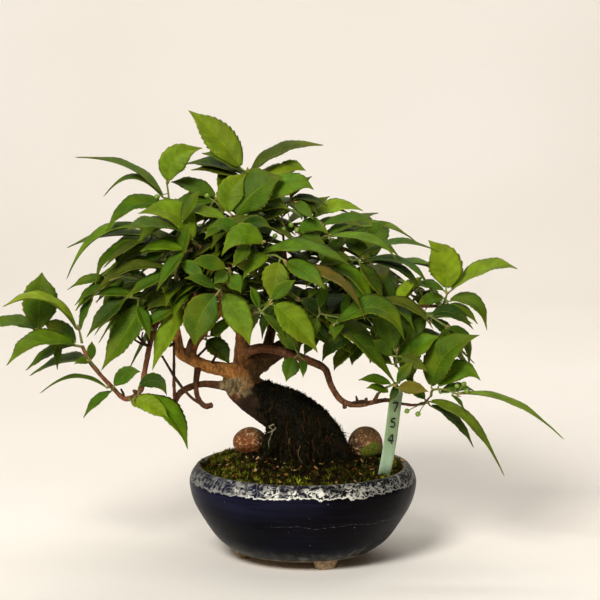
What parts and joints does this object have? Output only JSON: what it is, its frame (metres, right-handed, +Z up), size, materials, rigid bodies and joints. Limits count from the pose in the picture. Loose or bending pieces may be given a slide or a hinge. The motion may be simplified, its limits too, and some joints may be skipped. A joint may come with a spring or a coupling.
{
  "type": "potted bonsai tree",
  "caption": "Small leafy beautyberry bonsai with a slanting trunk and spreading crown, in a round glazed pot on three feet.",
  "frame": {"origin": "middle of the whole object's width and depth, on the ground under the pot's feet", "axes": "+Z up; +X to the right as seen from the front; the front faces -Y"},
  "size_m": [0.4566, 0.2706, 0.3605],
  "materials": {
    "glaze": "very dark navy glaze, satin gloss, with pale lime marks under the rim",
    "screen": "plain black plastic mesh",
    "soil": "granular potting soil under a moss cover",
    "bark": "fine rough grey-brown bark, mossy at the foot",
    "stone": "matt speckled pebble",
    "label": null,
    "foliage": "softly glossy green leaf with pale veins"
  },
  "bodies": {
    "root": {"drain_screen": "screen", "plant_label": "label", "pot": "glaze", "shoot_apex": "foliage", "shoot_apex_left": "foliage", "shoot_crown_far_left": "foliage", "shoot_far_1": "foliage", "shoot_far_10": "foliage", "shoot_far_11": "foliage", "shoot_far_12": "foliage", "shoot_far_13": "foliage", "shoot_far_14": "foliage", "shoot_far_2": "foliage", "shoot_far_3": "foliage", "shoot_far_4": "foliage", "shoot_far_5": "foliage", "shoot_far_6": "foliage", "shoot_far_7": "foliage", "shoot_far_8": "foliage", "shoot_far_9": "foliage", "shoot_front_low": "foliage", "shoot_front_low_left": "foliage", "shoot_front_middle": "foliage", "shoot_front_pair": "foliage", "shoot_front_right": "foliage", "shoot_front_upper": "foliage", "shoot_label": "foliage", "shoot_left_edge": "foliage", "shoot_left_front": "foliage", "shoot_left_hanging": "foliage", "shoot_left_long": "foliage", "shoot_left_low": "foliage", "shoot_left_upper": "foliage", "shoot_low_left_end": "foliage", "shoot_low_left_front": "foliage", "shoot_low_left_middle": "foliage", "shoot_low_left_spur": "foliage", "shoot_low_left_upper": "foliage", "shoot_low_right_end": "foliage", "shoot_low_right_front": "foliage", "shoot_right_end": "foliage", "shoot_right_front": "foliage", "shoot_right_hanging": "foliage", "shoot_right_long": "foliage", "shoot_right_low": "foliage", "shoot_right_middle": "foliage", "shoot_right_shoulder": "foliage", "shoot_right_spur": "foliage", "shoot_right_upper": "foliage", "shoot_under_left": "foliage", "shoot_under_middle": "foliage", "shoot_upper_right": "foliage", "soil": "soil", "stone_left": "stone", "stone_right": "stone", "trunk": "bark"}
  },
  "joints": []
}
